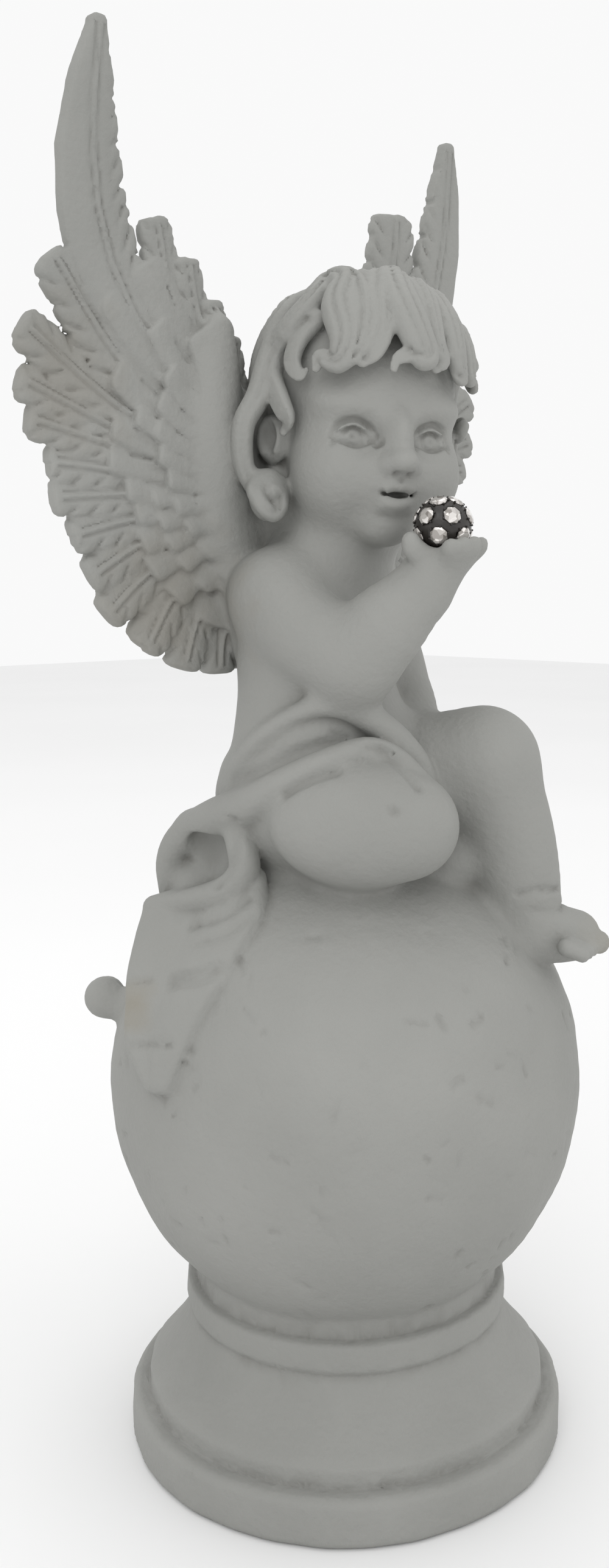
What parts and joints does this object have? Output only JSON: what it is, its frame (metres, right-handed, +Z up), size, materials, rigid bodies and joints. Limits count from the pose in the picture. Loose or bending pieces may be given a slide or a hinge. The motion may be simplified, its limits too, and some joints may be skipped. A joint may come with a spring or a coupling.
{
  "type": "angel figurine",
  "caption": "White cast cherub with spread feathered wings, seated on a ball over a turned round plinth, holding up a dark bead set with clear stones",
  "frame": {"origin": "centre of the plinth's underside", "axes": "+Z up, -Y the way the seated figure's body faces, +X towards the figure's left hand"},
  "size_m": [0.1135, 0.083, 0.2391],
  "materials": {
    "white_cast_resin": "matte",
    "black_clay": "satin",
    "crystal_stone": "polished"
  },
  "bodies": {
    "root": {"angel_casting": "white_cast_resin", "bead_ball": "black_clay", "stone_01": "crystal_stone", "stone_02": "crystal_stone", "stone_03": "crystal_stone", "stone_04": "crystal_stone", "stone_05": "crystal_stone", "stone_06": "crystal_stone", "stone_07": "crystal_stone", "stone_08": "crystal_stone", "stone_09": "crystal_stone", "stone_10": "crystal_stone", "stone_11": "crystal_stone", "stone_12": "crystal_stone", "stone_13": "crystal_stone", "stone_14": "crystal_stone", "stone_15": "crystal_stone", "stone_16": "crystal_stone"}
  },
  "joints": []
}
